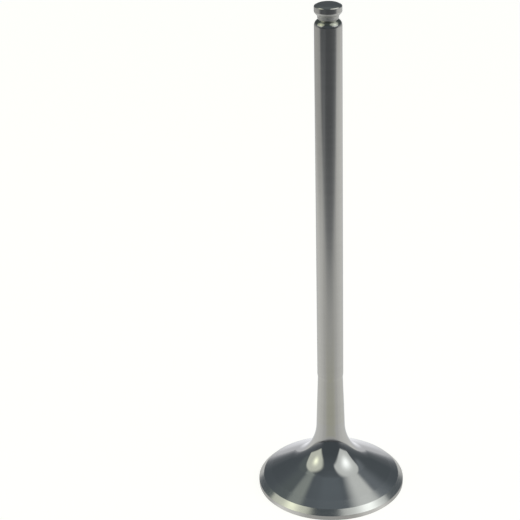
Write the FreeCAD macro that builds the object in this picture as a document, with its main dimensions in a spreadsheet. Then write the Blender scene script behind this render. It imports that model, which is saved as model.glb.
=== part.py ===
import FreeCAD, Part
from enum import IntEnum
import os
import Sketcher

# Engine poppet valve, forged and turned from one piece of steel.
# It stands on its combustion face with the stem along +Z, and the origin is the centre of
# that face. Lengths are in millimetres and angles in degrees.

document = FreeCAD.newDocument("EngineValve")

# Driving dimensions: alias, value, and what each one measures on the valve.
DIMENSIONS = [
    ("overall_length", 116.9, "combustion face to tip"),
    ("head_dia", 34.25, "outside of the head"),
    ("face_break", 0.2, "chamfer round the combustion face"),
    ("margin_height", 1.19, "upright edge from the combustion face to the seat"),
    ("seat_width", 1.16, "radial width of the ground seat"),
    ("seat_angle", 45.0, "slope of the seat"),
    ("back_angle", 29.0, "slope of the back of the head"),
    ("neck_dia", 7.17, "where the back of the head turns up into the neck"),
    ("tulip_round", 11.2, "radius of that turn"),
    ("stem_dia", 6.0, "ground stem"),
    ("stem_start", 29.2, "combustion face to the lower end of the ground stem"),
    ("relief_depth", 0.115, "grinding relief under the ground stem, below its surface"),
    ("relief_ramp", 0.35, "rise from the bottom of the relief to the ground stem"),
    ("relief_round", 0.5, "radius in the bottom of the relief"),
    ("tip_bead", 1.52, "tip to the keeper groove"),
    ("tip_chamfer", 0.2, "chamfer round the tip"),
    ("groove_dia", 4.49, "bottom of the keeper groove"),
    ("groove_upper", 0.99, "height of the groove's upper flank"),
    ("groove_land", 0.79, "height of the groove's straight bottom"),
    ("groove_lower", 1.11, "height of the groove's lower flank"),
    ("groove_root", 0.3, "radius at each end of the groove's bottom"),
    ("groove_shoulder", 1.9, "radius from the lower flank to the stem"),
]

sheet = document.addObject("Spreadsheet::Sheet", "Dimensions")
for row, (alias, value, meaning) in enumerate(DIMENSIONS, start=1):
    sheet.set(f"A{row}", meaning)
    sheet.set(f"B{row}", str(value))
    sheet.setAlias(f"B{row}", alias)
document.recompute()

body = document.addObject("PartDesign::Body", "Valve")
body.Label = "valve"


class Point(IntEnum):
    """The sketcher's numbers for the two ends of a line."""

    START = 1
    END = 2


class Axis(IntEnum):
    """The sketcher's numbers for the two axes of a sketch."""

    HORIZONTAL = -1
    VERTICAL = -2


START, END = Point
ORIGIN = (Axis.HORIZONTAL, START)


def axial_sketch(name, corners):
    """Draw a closed outline of straight lines in the plane of the stem's axis.

    The corners are (radius, height) pairs near the real ones, and the dimensions that
    hold() adds then place them. Line n runs from corner n to the next corner.
    """
    sketch = body.newObject("Sketcher::SketchObject", name)
    plane = next(face for face in body.Origin.OriginFeatures if face.Role == "XZ_Plane")
    sketch.AttachmentSupport = (plane, [""])
    sketch.MapMode = "FlatFace"
    points = [FreeCAD.Vector(radius, height, 0) for radius, height in corners]
    for start, end in zip(points, points[1:] + points[:1]):
        sketch.addGeometry(Part.LineSegment(start, end), False)
    for line in range(len(points)):
        following = (line + 1) % len(points)
        sketch.addConstraint(Sketcher.Constraint("Coincident", line, END, following, START))
    return sketch


def square_up(sketch, horizontal, vertical):
    """Hold the listed lines horizontal and vertical."""
    for line in horizontal:
        sketch.addConstraint(Sketcher.Constraint("Horizontal", line))
    for line in vertical:
        sketch.addConstraint(Sketcher.Constraint("Vertical", line))


def hold(sketch, name, kind, geometry, expression):
    """Add a named dimension to a sketch and bind it to the sheet."""
    value = sketch.evalExpression(expression)
    number = value.getValueAs("rad").Value if kind == "Angle" else float(value)
    index = sketch.addConstraint(Sketcher.Constraint(kind, *geometry, number))
    sketch.renameConstraint(index, name)
    sketch.setExpression(f"Constraints.{name}", expression)


def ring(feature, sketch, line):
    """Name the circular edge of a feature that the end of a sketch line has swept."""
    corner = sketch.getPoint(line, END)
    for number, edge in enumerate(feature.Shape.Edges, start=1):
        if not isinstance(edge.Curve, Part.Circle):
            continue
        swept = FreeCAD.Vector(edge.Curve.Radius, edge.Curve.Center.z, 0)
        if swept.distanceToPoint(corner) < 1e-4:
            return f"Edge{number}"
    raise RuntimeError(f"{feature.Label} has no ring at the end of line {line}")


def dress(kind, name, base, edges, size, expression):
    """Fillet or chamfer the named edges of a feature, with its size from the sheet."""
    feature = body.newObject(kind, name)
    feature.Base = (base, edges)
    feature.setExpression(size, expression)
    document.recompute()
    return feature


# Blank: the head with its seat and tulip back, the neck, the grinding relief and the stem.
blank_outline = axial_sketch("BlankOutline", [
    (0, 0), (17, 0), (17, 1), (16, 2), (3.6, 9),
    (2.9, 28), (3, 29), (3, 117), (0, 117),
])
FACE, MARGIN, SEAT, BACK, NECK, RAMP, STEM, TIP, AXIS = range(9)
square_up(blank_outline, horizontal=(FACE, TIP), vertical=(MARGIN, STEM))
blank_outline.addConstraint(Sketcher.Constraint("Coincident", FACE, START, *ORIGIN))
blank_outline.addConstraint(Sketcher.Constraint("PointOnObject", TIP, END, Axis.VERTICAL))
for name, kind, geometry, expression in (
    ("head_radius", "DistanceX", (*ORIGIN, FACE, END), "Dimensions.head_dia / 2"),
    ("margin", "DistanceY", (MARGIN, START, MARGIN, END), "Dimensions.margin_height"),
    ("seat_width", "DistanceX", (SEAT, END, SEAT, START), "Dimensions.seat_width"),
    ("seat_slope", "Angle", (SEAT,), "180 deg - Dimensions.seat_angle * 1 deg"),
    ("back_slope", "Angle", (BACK,), "180 deg - Dimensions.back_angle * 1 deg"),
    ("neck_radius", "DistanceX", (*ORIGIN, BACK, END), "Dimensions.neck_dia / 2"),
    ("relief_radius", "DistanceX", (*ORIGIN, NECK, END),
     "Dimensions.stem_dia / 2 - Dimensions.relief_depth"),
    ("relief_ramp", "DistanceY", (RAMP, START, RAMP, END), "Dimensions.relief_ramp"),
    ("stem_start", "DistanceY", (*ORIGIN, RAMP, END), "Dimensions.stem_start"),
    ("stem_radius", "DistanceX", (*ORIGIN, RAMP, END), "Dimensions.stem_dia / 2"),
    ("overall_length", "DistanceY", (*ORIGIN, TIP, END), "Dimensions.overall_length"),
):
    hold(blank_outline, name, kind, geometry, expression)
document.recompute()

blank = body.newObject("PartDesign::Revolution", "Blank")
blank.Profile = blank_outline
blank.ReferenceAxis = (blank_outline, ["V_Axis"])
blank.Angle = 360
document.recompute()

# Keeper groove: two sloping flanks and a straight bottom, turned into the stem below the tip.
# The outline's outer side runs clear of the stem.
groove_outline = axial_sketch("GrooveOutline", [
    (3, 115), (2.2, 114), (2.2, 113), (3, 112), (6, 112), (6, 115),
])
UPPER, BOTTOM, LOWER, LOWER_SIDE, OUTER, UPPER_SIDE = range(6)
square_up(groove_outline, horizontal=(LOWER_SIDE, UPPER_SIDE), vertical=(BOTTOM, OUTER))
for name, kind, geometry, expression in (
    ("groove_top", "DistanceY", (*ORIGIN, UPPER, START),
     "Dimensions.overall_length - Dimensions.tip_bead"),
    ("top_radius", "DistanceX", (*ORIGIN, UPPER, START), "Dimensions.stem_dia / 2"),
    ("bottom_radius", "DistanceX", (*ORIGIN, UPPER, END), "Dimensions.groove_dia / 2"),
    ("upper_flank", "DistanceY", (UPPER, END, UPPER, START), "Dimensions.groove_upper"),
    ("bottom_land", "DistanceY", (BOTTOM, END, BOTTOM, START), "Dimensions.groove_land"),
    ("lower_flank", "DistanceY", (LOWER, END, LOWER, START), "Dimensions.groove_lower"),
    ("shoulder_radius", "DistanceX", (*ORIGIN, LOWER, END), "Dimensions.stem_dia / 2"),
    ("outer_radius", "DistanceX", (*ORIGIN, OUTER, END), "Dimensions.stem_dia"),
):
    hold(groove_outline, name, kind, geometry, expression)
document.recompute()

keeper_groove = body.newObject("PartDesign::Groove", "KeeperGroove")
keeper_groove.Profile = groove_outline
keeper_groove.ReferenceAxis = (groove_outline, ["V_Axis"])
keeper_groove.Angle = 360
document.recompute()
if keeper_groove.Shape.Volume >= blank.Shape.Volume:
    raise RuntimeError("the keeper groove cuts nothing")

# Turned radii: the tulip's, the relief's, the groove's shoulder and the ends of its bottom.
tulip_turn = dress(
    "PartDesign::Fillet", "TulipTurn", keeper_groove,
    [ring(keeper_groove, blank_outline, BACK)], "Radius", "Dimensions.tulip_round",
)
relief_turn = dress(
    "PartDesign::Fillet", "ReliefTurn", tulip_turn,
    [ring(tulip_turn, blank_outline, NECK)], "Radius", "Dimensions.relief_round",
)
shoulder_turn = dress(
    "PartDesign::Fillet", "ShoulderTurn", relief_turn,
    [ring(relief_turn, groove_outline, LOWER)], "Radius", "Dimensions.groove_shoulder",
)
root_turn = dress(
    "PartDesign::Fillet", "RootTurn", shoulder_turn,
    [ring(shoulder_turn, groove_outline, line) for line in (UPPER, BOTTOM)],
    "Radius", "Dimensions.groove_root",
)

# Broken edges: round the tip, where the follower presses, and round the combustion face.
tip_edge = dress(
    "PartDesign::Chamfer", "TipEdge", root_turn,
    [ring(root_turn, blank_outline, STEM)], "Size", "Dimensions.tip_chamfer",
)
face_edge = dress(
    "PartDesign::Chamfer", "FaceEdge", tip_edge,
    [ring(tip_edge, blank_outline, FACE)], "Size", "Dimensions.face_break",
)

# Each object has to be sound before anything is written.
for item in document.Objects:
    if {"Invalid", "Error"} & set(item.State):
        raise RuntimeError(f"{item.Label} failed: {item.State}")
if body.Shape.isNull() or not body.Shape.isValid() or len(body.Shape.Solids) != 1:
    raise RuntimeError("the valve isn't one sound solid")

os.makedirs("parts", exist_ok=True)
body.Shape.exportStep(f"parts/{body.Label}.step")
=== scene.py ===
import bpy
import numpy as np
from mathutils import Matrix, Vector


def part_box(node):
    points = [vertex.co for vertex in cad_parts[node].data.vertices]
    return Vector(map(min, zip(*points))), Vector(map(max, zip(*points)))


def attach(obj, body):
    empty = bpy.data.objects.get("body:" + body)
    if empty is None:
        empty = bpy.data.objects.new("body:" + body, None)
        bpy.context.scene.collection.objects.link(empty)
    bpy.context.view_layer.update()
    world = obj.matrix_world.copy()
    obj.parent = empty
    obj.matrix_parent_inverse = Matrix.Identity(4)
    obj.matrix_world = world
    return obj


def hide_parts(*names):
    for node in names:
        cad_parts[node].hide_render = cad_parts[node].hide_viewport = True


# An engine valve: one piece of steel, forged, turned and ground. It stands on its combustion
# face with the stem up. The outline is given from the middle of that face to the middle of
# the tip, in millimetres of radius and height, and each section adds its own part of it.

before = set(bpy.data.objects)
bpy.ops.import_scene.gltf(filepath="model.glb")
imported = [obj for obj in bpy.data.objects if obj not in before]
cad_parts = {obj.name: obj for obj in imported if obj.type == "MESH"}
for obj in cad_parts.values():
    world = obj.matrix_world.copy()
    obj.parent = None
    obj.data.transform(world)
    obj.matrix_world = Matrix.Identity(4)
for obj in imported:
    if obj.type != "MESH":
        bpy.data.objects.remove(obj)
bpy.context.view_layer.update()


# Viewpoint.
# A long lens looks down at the valve from the front, from a little above the tip. It is aimed
# to the left of the valve and leans slightly, as in a hand-set product picture.
eye = Vector((0.0, -0.32138, 0.20896))
looks_at = Vector((-0.01558, 0.0, 0.05816))
lean = np.radians(-1.54)
lens = bpy.data.cameras.new("long_lens")
lens.sensor_width = 36.0
lens.lens = 109.8
lens.clip_start = 0.01
lens.clip_end = 30.0
viewpoint = bpy.data.objects.new("viewpoint", lens)
aim = (looks_at - eye).to_track_quat("-Z", "Y").to_matrix()
viewpoint.matrix_world = Matrix.Translation(eye) @ (aim @ Matrix.Rotation(lean, 3, "Z")).to_4x4()
bpy.context.scene.collection.objects.link(viewpoint)
bpy.context.scene.camera = viewpoint
bpy.context.scene.view_settings.view_transform = "Standard"


# Steel finishes.
# Every surface is the same bright steel and differs in how it was cut: the marks of the lathe
# tool, the grinding wheel or the polishing belt run round the axis, spaced along the outline.
def add_node(tree, kind, settings=None, **inputs):
    """Adds a node, gives its properties and sockets their values, and joins sockets to links.
    A socket goes by its name or, where several share one, by its number, such as _0."""
    node = tree.nodes.new(kind)
    for name, value in (settings or {}).items():
        setattr(node, name, value)
    for name, value in inputs.items():
        socket = node.inputs[int(name[1:]) if name.startswith("_") else name]
        if isinstance(value, bpy.types.NodeSocket):
            tree.links.new(value, socket)
        else:
            socket.default_value = value
    return node


def maths(tree, operation, *values):
    """The result of a math node on its values."""
    numbered = {f"_{number}": value for number, value in enumerate(values)}
    return add_node(tree, "ShaderNodeMath", {"operation": operation}, **numbered).outputs[0]


def vector_maths(tree, operation, *values):
    """The vector that a vector math node makes of its values."""
    numbered = {f"_{number}": value for number, value in enumerate(values)}
    node = add_node(tree, "ShaderNodeVectorMath", {"operation": operation}, **numbered)
    return node.outputs["Vector"]


def mapped(tree, value, start, end, first, last):
    """A value carried from the range start to end over to first to last, and held beyond it."""
    node = add_node(tree, "ShaderNodeMapRange", Value=value)
    node.inputs["From Min"].default_value = start
    node.inputs["From Max"].default_value = end
    node.inputs["To Min"].default_value = first
    node.inputs["To Max"].default_value = last
    return node.outputs["Result"]


def mixed(tree, share, *colours):
    """A colour that goes from the first colour to the second with the share."""
    one, other = [
        colour if isinstance(colour, bpy.types.NodeSocket) else (*colour, 1.0) for colour in colours
    ]
    node = add_node(tree, "ShaderNodeMix", {"data_type": "RGBA"}, _0=share, _6=one, _7=other)
    return node.outputs[2]


def new_group(name, inputs, outputs):
    """Starts a shader node group with named sockets, and returns it with its two end nodes."""
    group = bpy.data.node_groups.new(name, "ShaderNodeTree")
    for label, kind in inputs:
        group.interface.new_socket(label, in_out="INPUT", socket_type=kind)
    for label in outputs:
        group.interface.new_socket(label, in_out="OUTPUT", socket_type="NodeSocketFloat")
    return group, group.nodes.new("NodeGroupInput"), group.nodes.new("NodeGroupOutput")


def tool_marks_group():
    """Rings left by a tool: noise drawn out round the axis and packed closely along the outline.
    The tone follows a broader noise of the same rings."""
    changes_around = (70.0, 70.0, 0.0)
    broader = (0.5, 0.5, 0.17)
    group, given, result = new_group(
        "tool_marks",
        [("Place", "NodeSocketVector"), ("Along", "NodeSocketFloat"), ("Spacing", "NodeSocketFloat")],
        ["Height", "Tone"],
    )
    around = vector_maths(group, "MULTIPLY", given.outputs["Place"], changes_around)
    packed = maths(group, "DIVIDE", given.outputs["Along"], given.outputs["Spacing"])
    lift = add_node(group, "ShaderNodeCombineXYZ", Z=packed).outputs["Vector"]
    drawn = vector_maths(group, "ADD", around, lift)
    fine = add_node(group, "ShaderNodeTexNoise", Vector=drawn, Scale=1.0, Detail=3.0, Roughness=0.6)
    wide = vector_maths(group, "MULTIPLY", drawn, broader)
    broad = add_node(group, "ShaderNodeTexNoise", Vector=wide, Scale=1.0, Detail=2.0, Roughness=0.5)
    group.links.new(fine.outputs["Fac"], result.inputs["Height"])
    group.links.new(broad.outputs["Fac"], result.inputs["Tone"])
    return group


def handling_group():
    """Soft smears left by oil and fingers, and sparse hairlines, which are the places where a
    slanted, drawn-out noise passes through one level."""
    slant = (0.5, 0.9, 0.3)
    drawn_out = (900.0, 120.0, 120.0)
    thread_level = 0.64
    thread_width = 0.012
    group, given, result = new_group(
        "handling", [("Place", "NodeSocketVector"), ("Patch", "NodeSocketFloat")], ["Smear", "Hairline"],
    )
    place = given.outputs["Place"]
    per_patch = maths(group, "DIVIDE", 1.0, given.outputs["Patch"])
    smear = add_node(
        group, "ShaderNodeTexNoise", Vector=place, Scale=per_patch,
        Detail=4.0, Roughness=0.55, Distortion=0.4,
    )
    slanted = add_node(group, "ShaderNodeMapping", Vector=place, Rotation=slant, Scale=drawn_out)
    thread = add_node(
        group, "ShaderNodeTexNoise", Vector=slanted.outputs["Vector"],
        Scale=1.0, Detail=1.0, Roughness=0.4,
    )
    off_level = maths(group, "SUBTRACT", thread.outputs["Fac"], thread_level)
    hairline = mapped(group, maths(group, "ABSOLUTE", off_level), 0.0, thread_width, 1.0, 0.0)
    group.links.new(smear.outputs["Fac"], result.inputs["Smear"])
    group.links.new(hairline, result.inputs["Hairline"])
    return group


tool_marks = tool_marks_group()
handling = handling_group()


def steel_finish(name, dark, light, smooth, rough, spacing, depth, stretch):
    """A cut steel surface: colour and roughness go from their first to their second value with
    the marks' tone and the smears. The marks' spacing and depth are in metres, and the stretch
    draws highlights out across the marks."""
    smear_size = 0.009
    least_worn = 0.10
    most_worn = 0.42
    scratch = 0.05
    grazing_tint = (0.76, 0.76, 0.77, 1.0)
    round_the_axis = 0.25
    material = bpy.data.materials.new(name)
    material.use_nodes = True
    tree = material.node_tree
    shader = tree.nodes["Principled BSDF"]
    place = add_node(tree, "ShaderNodeTexCoord").outputs["Object"]
    along = add_node(tree, "ShaderNodeAttribute", {"attribute_name": "outline_run"}).outputs["Fac"]
    marks = add_node(
        tree, "ShaderNodeGroup", {"node_tree": tool_marks}, Place=place, Along=along, Spacing=spacing,
    )
    touched = add_node(tree, "ShaderNodeGroup", {"node_tree": handling}, Place=place, Patch=smear_size)
    worn = maths(tree, "MULTIPLY", touched.outputs["Smear"], marks.outputs["Tone"])
    sheen = mapped(tree, worn, least_worn, most_worn, smooth, rough)
    scratched = maths(tree, "MULTIPLY_ADD", touched.outputs["Hairline"], scratch, sheen)
    bump = add_node(tree, "ShaderNodeBump", Height=marks.outputs["Height"], Strength=1.0, Distance=depth)
    tree.links.new(mixed(tree, marks.outputs["Tone"], dark, light), shader.inputs["Base Color"])
    tree.links.new(scratched, shader.inputs["Roughness"])
    tree.links.new(bump.outputs["Normal"], shader.inputs["Normal"])
    shader.inputs["Metallic"].default_value = 1.0
    shader.inputs["Specular Tint"].default_value = grazing_tint
    shader.inputs["Anisotropic"].default_value = stretch
    shader.inputs["Anisotropic Rotation"].default_value = round_the_axis
    return material


outline = []
finishes = []


def turn(radius, height, blend, finish=None):
    """Adds a corner of the outline: its blend radius, and the finish of the run that starts there."""
    if finish is not None and finish not in finishes:
        finishes.append(finish)
    outline.append((radius, height, blend, finishes.index(finish) if finish else -1))


# Combustion face.
# The underside of the head, which closes the combustion chamber. It is faced flat in the
# lathe, so its marks are rings about the centre, and the valve stands on it here.
mm_in_metre = 1000.0
low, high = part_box("valve")
head_radius = mm_in_metre * min(-low.x, high.x, -low.y, high.y)
face_break = 0.2
broken_edge = 0.06
faced = steel_finish(
    "faced_steel", dark=(0.50, 0.495, 0.48), light=(0.58, 0.575, 0.56),
    smooth=0.24, rough=0.34, spacing=0.00022, depth=0.0000012, stretch=0.5,
)
turn(0.0, 0.0, 0.0, faced)
turn(head_radius - face_break, 0.0, broken_edge, faced)


# Margin.
# The short upright edge of the head between the face and the seat. It is turned in one pass
# and keeps the tool's rings.
margin_height = 1.19
turned = steel_finish(
    "turned_steel", dark=(0.53, 0.525, 0.515), light=(0.60, 0.595, 0.585),
    smooth=0.16, rough=0.26, spacing=0.00016, depth=0.0000008, stretch=0.5,
)
turn(head_radius, face_break, broken_edge, turned)


# Seat.
# The 45 degree ring that closes against the seat insert. It is ground last, with a fine wheel,
# so it is bright and even, and its edges stay crisp.
seat_width = 1.16
crisp_edge = 0.04
ground_seat = steel_finish(
    "ground_seat", dark=(0.58, 0.58, 0.57), light=(0.64, 0.64, 0.625),
    smooth=0.17, rough=0.25, spacing=0.0001, depth=0.0000004, stretch=0.4,
)
turn(head_radius, margin_height, crisp_edge, ground_seat)


# Back of the head and throat.
# The tulip: a flat cone that sweeps up into the neck on one large turned radius. It is polished
# for the gas flow, round the axis, and the belt leaves its outer ring a little duller.
seat_top = margin_height + seat_width
seat_inner = head_radius - seat_width
back_slope = np.tan(np.radians(29.0))
buffed_width = 1.9
neck_radius = 3.585
neck_height = seat_top + (seat_inner - neck_radius) * back_slope
tulip_round = 11.2
buffed = steel_finish(
    "buffed_steel", dark=(0.57, 0.57, 0.565), light=(0.605, 0.605, 0.60),
    smooth=0.10, rough=0.17, spacing=0.00035, depth=0.0000001, stretch=0.2,
)
polished = steel_finish(
    "polished_steel", dark=(0.545, 0.545, 0.54), light=(0.58, 0.58, 0.575),
    smooth=0.04, rough=0.09, spacing=0.00035, depth=0.0000001, stretch=0.2,
)
turn(seat_inner, seat_top, crisp_edge, buffed)
turn(seat_inner - buffed_width, seat_top + buffed_width * back_slope, 0.0, polished)
turn(neck_radius, neck_height, tulip_round, polished)


# Neck and grinding relief.
# The neck is left satin. It tapers upwards to a shallow ring, cut so that the grinding wheel
# runs out cleanly at the lower end of the stem.
relief_radius = 2.885
relief_height = 28.35
relief_round = 1.2
satin_start = 17.0
satin_radius = np.interp(satin_start, [neck_height, relief_height], [neck_radius, relief_radius])
satin = steel_finish(
    "satin_steel", dark=(0.545, 0.543, 0.525), light=(0.585, 0.583, 0.565),
    smooth=0.10, rough=0.17, spacing=0.0003, depth=0.0000003, stretch=0.35,
)
turn(satin_radius, satin_start, 0.0, satin)
turn(relief_radius, relief_height, relief_round, satin)


# Ground stem.
# The part that slides in the valve guide. It is ground between wheels to a fine, even
# surface, with marks that run round it.
stem_radius = 3.0
stem_start = 29.2
wheel_edge = 0.5
ground = steel_finish(
    "ground_steel", dark=(0.54, 0.538, 0.525), light=(0.59, 0.588, 0.575),
    smooth=0.13, rough=0.19, spacing=0.00025, depth=0.0000003, stretch=0.3,
)
turn(stem_radius, stem_start, wheel_edge, ground)


# Keeper groove.
# A waist turned in the steel below the tip, for the two split keepers that hold the spring's
# retainer. Its bottom keeps the tool's matt cut, with an undercut at its foot, and its lower
# flank is polished.
length = mm_in_metre * high.z
tip_bead = 1.60
upper_flank = 0.85
groove_radius = 2.29
groove_land = 0.72
groove_root = 0.2
undercut_radius = 2.15
undercut_height = 0.36
undercut_root = 0.1
lower_flank = 0.74
groove_shoulder = 1.5
groove_top = length - tip_bead
land_top = groove_top - upper_flank
land_low = land_top - groove_land
shoulder = steel_finish(
    "shoulder_steel", dark=(0.38, 0.385, 0.335), light=(0.42, 0.43, 0.375),
    smooth=0.07, rough=0.12, spacing=0.0003, depth=0.0000002, stretch=0.2,
)
grooved = steel_finish(
    "grooved_steel", dark=(0.62, 0.62, 0.61), light=(0.70, 0.70, 0.69),
    smooth=0.44, rough=0.54, spacing=0.0002, depth=0.0000006, stretch=0.2,
)
turn(stem_radius, land_low - lower_flank, groove_shoulder, shoulder)
turn(undercut_radius, land_low, undercut_root, grooved)
turn(groove_radius, land_low + undercut_height, groove_root, grooved)
turn(groove_radius, land_top, groove_root, grooved)


# Tip.
# The end that the rocker or tappet presses on: a short bead, hardened, with a ground face. Its
# rim is broken by a small steep bevel and a wide shallow one, blended into the face.
rim_width = 0.14
rim_height = 0.40
rim_round = 0.12
bevel_width = 0.70
bevel_height = 0.25
bevel_round = 0.1
face_round = 0.5
bead_round = 0.5
tip_ground = steel_finish(
    "tip_steel", dark=(0.62, 0.60, 0.55), light=(0.70, 0.68, 0.625),
    smooth=0.10, rough=0.16, spacing=0.0003, depth=0.0000003, stretch=0.3,
)
turn(stem_radius, groove_top, bead_round, ground)
turn(stem_radius, length - rim_height, rim_round, tip_ground)
turn(stem_radius - rim_width, length - bevel_height, bevel_round, tip_ground)
turn(stem_radius - bevel_width, length, face_round, tip_ground)
turn(0.0, length, 0.0)


# The valve.
# One piece of steel, forged as a blank and turned all over: the whole outline is swept round
# the axis into a closed surface.
def blended(corners, longest_step):
    """Points of the outline with their outward normals and finishes. Each run between two corners
    is straight, with its points closer together at its ends, and each corner is replaced by the
    arc of its blend radius that touches both runs."""
    small_blend = 1.0
    small_blend_step = np.radians(6.0)
    large_blend_step = np.radians(1.0)
    fewest_on_run = 2
    fewest_on_blend = 4
    same_place = 1e-6
    place = np.array([corner[:2] for corner in corners])
    blend = np.array([corner[2] for corner in corners])[1:-1]
    kind = [corner[3] for corner in corners]
    step = np.diff(place, axis=0)
    run = np.hypot(step[:, 0], step[:, 1])
    way = step / run[:, None]
    outward = np.stack([way[:, 1], -way[:, 0]], axis=1)
    angle = np.arctan2(way[:, 1], way[:, 0])
    bend = np.diff(angle)
    reach = blend * np.tan(np.abs(bend) / 2)
    starts = np.concatenate(([0.0], reach))
    ends = run - np.concatenate((reach, [0.0]))
    points, normals, kinds = [], [], []
    for n in range(len(run)):
        count = max(int(np.ceil((ends[n] - starts[n]) / longest_step)), fewest_on_run)
        share = np.linspace(0.0, 1.0, count + 1)[:, None]
        at = starts[n] + (ends[n] - starts[n]) * (0.5 - 0.5 * np.cos(np.pi * share))
        points.append(place[n] + way[n] * at)
        normals.append(np.repeat(outward[None, n], count + 1, axis=0))
        kinds.append(np.full(count + 1, kind[n]))
        if n < len(bend) and blend[n] > 0:
            side = np.sign(bend[n])
            centre = points[-1][-1] - side * blend[n] * outward[n]
            turn_step = small_blend_step if blend[n] < small_blend else large_blend_step
            turns = max(int(np.ceil(np.abs(bend[n]) / turn_step)), fewest_on_blend)
            passed = np.arange(1, turns)
            theta = angle[n] + bend[n] * passed / turns
            arc_outward = np.stack([np.sin(theta), -np.cos(theta)], axis=1)
            points.append(centre + side * blend[n] * arc_outward)
            normals.append(arc_outward)
            kinds.append(np.where(passed * 2 < turns, kind[n], kind[n + 1]))
    points, normals, kinds = np.concatenate(points), np.concatenate(normals), np.concatenate(kinds)
    apart = np.append(np.hypot(*np.diff(points, axis=0).T) > same_place, True)
    return points[apart], normals[apart], kinds[apart]


def swept(pairs, slices):
    """A surface of revolution: outline pair (r, z) at angle t lies at (r sin t, -r cos t, z), row
    by row. The first and last pairs are on the axis, so each is one point, and both come last."""
    angle = 2 * np.pi * np.arange(slices) / slices
    ring = np.stack([np.sin(angle), -np.cos(angle)], axis=1)
    rows = pairs[1:-1, None]
    across = rows[..., :1] * ring
    up = np.repeat(rows[..., 1:], slices, axis=1)
    on_axis = [[0.0, 0.0, pairs[0, 1]], [0.0, 0.0, pairs[-1, 1]]]
    return np.concatenate([np.concatenate([across, up], axis=2).reshape(-1, 3), on_axis])


def swept_faces(rows, slices):
    """The swept surface's faces, which all face outwards: a fan of triangles about the lower point
    on the axis, the rings of four-cornered faces, and a fan about the upper point."""
    first = np.arange(slices)
    second = (first + 1) % slices
    base = np.arange(rows - 1)[:, None] * slices
    walls = np.stack([base + first, base + second, base + slices + second, base + slices + first], axis=2)
    lower_point = rows * slices
    upper_point = lower_point + 1
    top_row = lower_point - slices
    foot = np.stack([np.full(slices, lower_point), second, first], axis=1)
    cap = np.stack([np.full(slices, upper_point), top_row + first, top_row + second], axis=1)
    return foot.tolist() + walls.reshape(-1, 4).tolist() + cap.tolist()


longest_step = 1.5
slices = 288
points, normals, kinds = blended(outline, longest_step)
valve_mesh = bpy.data.meshes.new("valve_steel")
valve_mesh.from_pydata(swept(points, slices) / mm_in_metre, [], swept_faces(len(points) - 2, slices))
valve_mesh.polygons.foreach_set("use_smooth", np.ones(len(valve_mesh.polygons), bool))
valve_mesh.polygons.foreach_set("material_index", np.repeat(kinds[:-1], slices).astype(np.int32))
gone = np.concatenate([[0.0], np.cumsum(np.hypot(*np.diff(points, axis=0).T))]) / mm_in_metre
outline_run = valve_mesh.attributes.new("outline_run", "FLOAT", "POINT")
outline_run.data.foreach_set(
    "value", np.concatenate([np.repeat(gone[1:-1], slices), gone[[0, -1]]]).astype(np.float32),
)
valve_mesh.validate()
valve_mesh.normals_split_custom_set_from_vertices(swept(normals, slices).tolist())
for finish in finishes:
    valve_mesh.materials.append(finish)
valve = bpy.data.objects.new("valve_steel", valve_mesh)
bpy.context.scene.collection.objects.link(valve)
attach(valve, "root")
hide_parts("valve")


# Floor.
# A wide sheet of matt white paper on a dark table. The viewer sees it evenly white, and the
# steel mirrors it with painted light and shade: palest towards the backdrop, with a painted
# shadow behind the head, and ending in front at the table.
paper_white = (0.99, 0.99, 0.955)


def square_grid(cells):
    """Places from 0 to 1 on a square grid, and the four-cornered faces between them."""
    steps = np.linspace(0.0, 1.0, cells + 1)
    places = np.stack(np.meshgrid(steps, steps, indexing="ij"), axis=2).reshape(-1, 2)
    index = np.arange(len(places)).reshape(cells + 1, cells + 1)
    faces = np.stack([index[:-1, :-1], index[1:, :-1], index[1:, 1:], index[:-1, 1:]], axis=2)
    return places, faces.reshape(-1, 4).tolist()


def ramp_between(tree, value, stops):
    """A value that follows the (input, output) stops, smoothly, from one to the next."""
    first, last = stops[0][0], stops[-1][0]
    ramp = add_node(tree, "ShaderNodeValToRGB", Fac=mapped(tree, value, first, last, 0.0, 1.0))
    ramp.color_ramp.interpolation = "EASE"
    elements = ramp.color_ramp.elements
    while len(elements) < len(stops):
        elements.new(0.5)
    for element, (place, level) in zip(elements, stops):
        element.position = (place - first) / (last - first)
        element.color = (level, level, level, 1.0)
    return ramp.outputs["Color"]


def product(tree, first, *others):
    """The product of two or more values."""
    for other in others:
        first = maths(tree, "MULTIPLY", first, other)
    return first


def scaled(tree, colour, level):
    """A colour at a level of brightness."""
    node = add_node(tree, "ShaderNodeVectorMath", {"operation": "SCALE"}, _0=colour, Scale=level)
    return node.outputs["Vector"]


half_width = 4.0
paper_cells = 8
places, faces = square_grid(paper_cells)
paper_mesh = bpy.data.meshes.new("paper_floor")
paper_mesh.from_pydata(
    np.column_stack([half_width * (2.0 * places - 1.0), np.zeros(len(places))]), [], faces,
)
paper = bpy.data.objects.new("paper_floor", paper_mesh)
bpy.context.scene.collection.objects.link(paper)

sheet = bpy.data.materials.new("matt_paper")
sheet.use_nodes = True
on_sheet = sheet.node_tree
on_sheet.nodes.clear()
spot = add_node(on_sheet, "ShaderNodeTexCoord").outputs["Object"]
spot_axes = add_node(on_sheet, "ShaderNodeSeparateXYZ", Vector=spot).outputs
bearing = vector_maths(on_sheet, "NORMALIZE", spot)
bearing_axes = add_node(on_sheet, "ShaderNodeSeparateXYZ", Vector=bearing).outputs
reach = add_node(on_sheet, "ShaderNodeVectorMath", {"operation": "LENGTH"}, _0=spot)
from_middle = reach.outputs["Value"]
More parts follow.
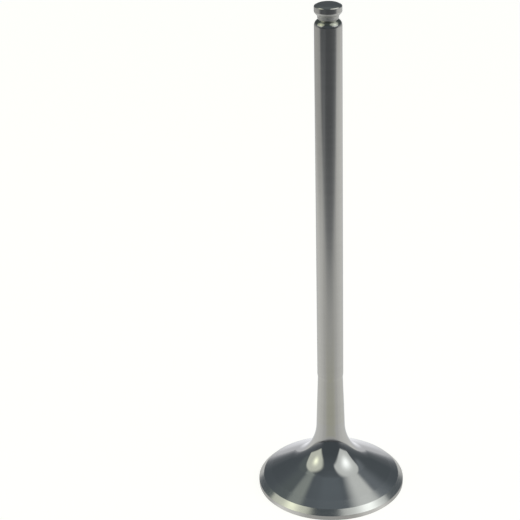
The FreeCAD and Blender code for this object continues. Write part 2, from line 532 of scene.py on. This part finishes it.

# The paper's painted light, by the bearing from the valve and by the distance in front and to the sides.
painted_backlight = ramp_between(on_sheet, bearing_axes["Y"], [
    (-1.0, 0.50), (-0.707, 0.58), (-0.26, 0.70), (0.26, 0.79), (0.707, 0.88), (1.0, 0.92),
])
front_edge = ramp_between(on_sheet, spot_axes["Y"], [
    (-0.45, 0.19), (-0.30, 0.235), (-0.227, 0.26), (-0.182, 0.36),
    (-0.145, 0.46), (-0.112, 0.86), (-0.08, 1.0),
])
left_end = ramp_between(on_sheet, spot_axes["X"], [(-0.9, 0.4), (-0.22, 0.68), (-0.13, 1.0)])
right_end = ramp_between(on_sheet, spot_axes["X"], [(0.22, 1.0), (0.45, 0.8), (0.9, 0.5)])
painted_paper_light = product(on_sheet, painted_backlight, front_edge, left_end, right_end)

# Straight behind the head the painted light rises to a bright crescent, then a painted shadow.
plain_level = 0.35
crescent = ramp_between(on_sheet, spot_axes["Y"], [
    (0.012, 0.35), (0.020, 0.66), (0.028, 0.57), (0.036, 0.35),
    (0.05, 0.28), (0.10, 0.26), (0.3, 0.16), (1.0, 0.0),
])
straight_behind = ramp_between(on_sheet, bearing_axes["Y"], [(0.70, 0.0), (0.90, 1.0)])
painted_light_behind = product(on_sheet, maths(on_sheet, "SUBTRACT", crescent, plain_level), straight_behind)

# Painted light brightens the paper close beside the head's front.
close_in = ramp_between(on_sheet, from_middle, [(0.016, 1.0), (0.020, 0.9), (0.026, 0.0)])
beside_front = ramp_between(on_sheet, bearing_axes["Y"], [
    (-1.0, 0.0), (-0.96, 0.1), (-0.87, 0.6), (-0.72, 0.75), (-0.5, 0.05), (-0.3, 0.0),
])
painted_light_beside_front = product(on_sheet, close_in, beside_front)

# A painted strip of light lies on the table, in front and to the left.
strip_width = ramp_between(on_sheet, spot_axes["X"], [
    (-0.33, 0.0), (-0.24, 0.6), (-0.17, 0.5), (-0.10, 0.0),
])
strip_depth = ramp_between(on_sheet, spot_axes["Y"], [
    (-0.60, 0.2), (-0.30, 1.0), (-0.20, 1.0), (-0.155, 0.0),
])
painted_light_on_strip = product(on_sheet, strip_width, strip_depth)

# All the painted light and shade on the paper, as the steel mirrors it.
lifts = [maths(on_sheet, "ADD", lift, 1.0) for lift in (painted_light_behind, painted_light_beside_front, painted_light_on_strip)]
painted_floor_light = product(on_sheet, painted_paper_light, *lifts)

# The table is a little blue. The painted light on the paper is warm close in front of the valve and cool
# behind it.
table_blue = (0.91, 0.965, 1.03)
warm_painted_light = (0.99, 0.99, 0.85)
cool_painted_light = (0.97, 0.98, 1.0)
near_front = ramp_between(on_sheet, spot_axes["Y"], [
    (-0.08, 0.0), (-0.045, 1.0), (-0.032, 1.0), (-0.022, 0.0),
])
straight_front = ramp_between(on_sheet, bearing_axes["Y"], [(-1.0, 1.0), (-0.90, 0.75), (-0.72, 0.0)])
table_to_paper = mixed(on_sheet, front_edge, table_blue, paper_white)
warmed = mixed(on_sheet, product(on_sheet, near_front, straight_front), table_to_paper, warm_painted_light)
cooled = mixed(on_sheet, straight_behind, warmed, cool_painted_light)

# What a ray sees: painted light and shade in the steel, an even white for the viewer, and matt
# paper for the light that falls on it.
matt_white = (0.35, 0.35, 0.34)
sheet_rays = on_sheet.nodes.new("ShaderNodeLightPath").outputs
mirrored = maths(on_sheet, "MAXIMUM", sheet_rays["Is Glossy Ray"], sheet_rays["Is Transmission Ray"])
seen_direct = ramp_between(on_sheet, from_middle, [(0.0, 0.9), (0.25, 0.9), (1.2, 1.0), (4.0, 1.0)])
level = add_node(
    on_sheet, "ShaderNodeMix", {"data_type": "FLOAT"}, _0=mirrored, _2=seen_direct, _3=painted_floor_light,
).outputs[0]
shows = maths(on_sheet, "MAXIMUM", mirrored, sheet_rays["Is Camera Ray"])
tint = mixed(on_sheet, mirrored, paper_white, cooled)
glow_level = product(on_sheet, level, shows)
paper_glow = add_node(on_sheet, "ShaderNodeEmission", Color=tint, Strength=glow_level)
unmirrored = add_node(
    on_sheet, "ShaderNodeMath", {"operation": "SUBTRACT", "use_clamp": True}, _0=1.0, _1=mirrored,
).outputs[0]
matt_paper = add_node(on_sheet, "ShaderNodeBsdfDiffuse", Color=scaled(on_sheet, matt_white, unmirrored))
whole_paper = add_node(on_sheet, "ShaderNodeAddShader", _0=paper_glow.outputs[0], _1=matt_paper.outputs[0])
add_node(on_sheet, "ShaderNodeOutputMaterial", Surface=whole_paper.outputs[0])
paper_mesh.materials.append(sheet)


# Room.
# A dim room with a faintly blue ceiling. Behind the valve a pale backdrop stands low on the
# horizon. The viewer sees only white past the floor.
room = bpy.data.worlds.new("dim_room")
bpy.context.scene.world = room
room.use_nodes = True
in_room = room.node_tree
in_room.nodes.clear()
sight = add_node(in_room, "ShaderNodeTexCoord").outputs["Generated"]
sight_axes = add_node(in_room, "ShaderNodeSeparateXYZ", Vector=sight).outputs
flat_sight = vector_maths(in_room, "MULTIPLY", sight, (1.0, 1.0, 0.0))
level_sight = vector_maths(in_room, "NORMALIZE", flat_sight)
level_axes = add_node(in_room, "ShaderNodeSeparateXYZ", Vector=level_sight).outputs

# The backdrop's light, by the height above the horizon and by the bearing.
backdrop_colour = (0.98, 0.97, 1.0)
backdrop_height = ramp_between(in_room, sight_axes["Z"], [
    (-0.1, 0.60), (0.0, 0.46), (0.05, 0.22), (0.10, 0.12), (0.16, 0.06), (0.3, 0.0),
])
backdrop_breadth = ramp_between(in_room, level_axes["Y"], [
    (-0.8, 0.0), (-0.25, 0.60), (0.6, 0.42), (0.80, 0.44), (0.90, 0.8), (0.97, 1.1),
])
backdrop = scaled(in_room, backdrop_colour, product(in_room, backdrop_height, backdrop_breadth))

# The walls and the ceiling are lighter in the far half of the room and overhead.
wall_colour = (0.084, 0.098, 0.108)
far_half = ramp_between(in_room, sight_axes["Y"], [
    (-1.0, 1.0), (-0.35, 1.0), (-0.13, 0.95), (0.02, 1.16), (0.35, 1.27), (1.0, 1.25),
])
overhead = ramp_between(in_room, sight_axes["Z"], [
    (0.0, 1.0), (0.45, 1.0), (0.9, 1.25), (0.97, 1.45), (1.0, 1.7),
])
walls = scaled(in_room, wall_colour, product(in_room, far_half, overhead))

lit = vector_maths(in_room, "ADD", walls, backdrop)
dim = add_node(in_room, "ShaderNodeBackground", Color=lit, Strength=1.0)
white = add_node(in_room, "ShaderNodeBackground", Color=(*paper_white, 1.0), Strength=1.0)
camera_ray = in_room.nodes.new("ShaderNodeLightPath").outputs["Is Camera Ray"]
either = add_node(in_room, "ShaderNodeMixShader", _0=camera_ray, _1=dim.outputs[0], _2=white.outputs[0])
add_node(in_room, "ShaderNodeOutputWorld", Surface=either.outputs[0])


# Soft boxes.
# Two large cloth-fronted lights stand left and right of the viewer, each with a hotter middle.
# Fainter white panels carry their light on over the valve and towards the back.
def toward(bearings):
    """Unit vectors for bearings in degrees: round from the front to the right, and up."""
    around, above = np.radians(np.array(bearings, float)).T
    flat = np.cos(above)
    return np.stack([np.sin(around) * flat, -np.cos(around) * flat, np.sin(above)], axis=-1)


def cloth_cover(spots, corners, fading):
    """How much of the view the cloth covers at each spot, from 0 to 1: the product, over the
    edges, of a smooth step of the distance inside the edge over its fading width."""
    edge = np.roll(corners, -1, axis=0) - corners
    winding = np.sign(edge[0, 0] * edge[1, 1] - edge[0, 1] * edge[1, 0])
    across_edge = np.stack([-edge[:, 1], edge[:, 0]], axis=1)
    inward = winding * across_edge / np.linalg.norm(edge, axis=1)[:, None]
    inside = np.einsum("pej,ej->pe", spots[:, None] - corners[None], inward)
    share = np.clip(inside / fading, 0.0, 1.0)
    return np.prod(share * share * (3.0 - 2.0 * share), axis=1)


cloth_cells = 60


def soft_box(name, distance, colour, corners, hot_spot=None):
    """A flat panel that faces the valve. Each corner is its bearing and the width over which the
    edge that starts there fades. The brightness at a point is the cloth's colour and a hot spot,
    a bell curve of the distance from its bearing, times the cover. Widths are in shares of the
    panel's distance from the valve."""
    ways = toward([corner[:2] for corner in corners])
    middle = ways.mean(axis=0)
    middle /= np.linalg.norm(middle)
    side = np.cross((0.0, 0.0, 1.0), middle)
    side /= np.linalg.norm(side)
    across = np.stack([side, np.cross(middle, side)], axis=1)
    flat_corners = ways @ across / (ways @ middle)[:, None]
    nearest, farthest = flat_corners.min(axis=0), flat_corners.max(axis=0)
    places, faces = square_grid(cloth_cells)
    spots = nearest + (farthest - nearest) * places
    cover = cloth_cover(spots, flat_corners, np.array([corner[2] for corner in corners]))
    glow = np.repeat([colour], len(spots), axis=0)
    if hot_spot is not None:
        hot_bearing, hot_colour, hot_width = hot_spot
        hot_way = toward([hot_bearing])[0]
        away = np.linalg.norm(spots - hot_way @ across / (hot_way @ middle), axis=1)
        glow = glow + np.exp(-(away / hot_width) ** 2)[:, None] * np.array(hot_colour)
    mesh = bpy.data.meshes.new(name)
    mesh.from_pydata(distance * (middle + spots @ across.T), [], faces)
    see_through = mesh.attributes.new("see_through", "FLOAT", "POINT")
    see_through.data.foreach_set("value", (1.0 - cover).astype(np.float32))
    light_given = mesh.attributes.new("light_given", "FLOAT_VECTOR", "POINT")
    light_given.data.foreach_set("vector", (cover[:, None] * glow).astype(np.float32).ravel())
    panel = bpy.data.objects.new(name, mesh)
    bpy.context.scene.collection.objects.link(panel)
    cloth = bpy.data.materials.new(name)
    cloth.use_nodes = True
    tree = cloth.node_tree
    tree.nodes.clear()
    given = add_node(tree, "ShaderNodeAttribute", {"attribute_name": "light_given"}).outputs["Color"]
    clear = add_node(tree, "ShaderNodeAttribute", {"attribute_name": "see_through"}).outputs["Fac"]
    light = add_node(tree, "ShaderNodeEmission", Color=given, Strength=1.0)
    open_air = add_node(tree, "ShaderNodeBsdfTransparent", Color=clear)
    both = add_node(tree, "ShaderNodeAddShader", _0=light.outputs[0], _1=open_air.outputs[0])
    add_node(tree, "ShaderNodeOutputMaterial", Surface=both.outputs[0])
    mesh.materials.append(cloth)
    panel.visible_camera = False
    panel.visible_shadow = False


soft_box(
    "left_soft_box", distance=0.9, colour=(0.775, 0.80, 0.690),
    corners=[
        (-107, 13, 0.08), (-52, 12, 0.20), (-31, 40, 0.25), (-30, 60, 0.20),
        (-84, 68, 0.2), (-100, 63, 0.10), (-110, 42, 0.08),
    ],
    hot_spot=((-72, 39), (1.00, 1.03, 0.71), 0.145),
)
soft_box(
    "left_wing", distance=1.0, colour=(0.345, 0.38, 0.355),
    corners=[(-93, 43, 0.08), (-83, 69, 0.1), (-114, 69, 0.06), (-120, 52.5, 0.10)],
)
soft_box(
    "left_haze", distance=1.2, colour=(0.146, 0.171, 0.172),
    corners=[(-96, 14, 0.2), (-96, 56, 0.15), (-122, 58, 0.12), (-136, 36, 0.25), (-128, 12, 0.2)],
)
soft_box(
    "right_soft_box", distance=0.9, colour=(0.772, 0.80, 0.775),
    corners=[
        (51, 12, 0.12), (110, 12, 0.08), (116, 38, 0.10), (135, 47, 0.12),
        (127, 76, 0.12), (54, 78, 0.2), (0, 57, 0.25), (34, 27, 0.20),
    ],
    hot_spot=((71, 43), (1.00, 1.04, 1.02), 0.24),
)
soft_box(
    "right_haze", distance=1.2, colour=(0.205, 0.231, 0.252),
    corners=[(105, 22, 0.2), (108, 58, 0.15), (128, 58, 0.15), (140, 34, 0.3), (128, 16, 0.2)],
)
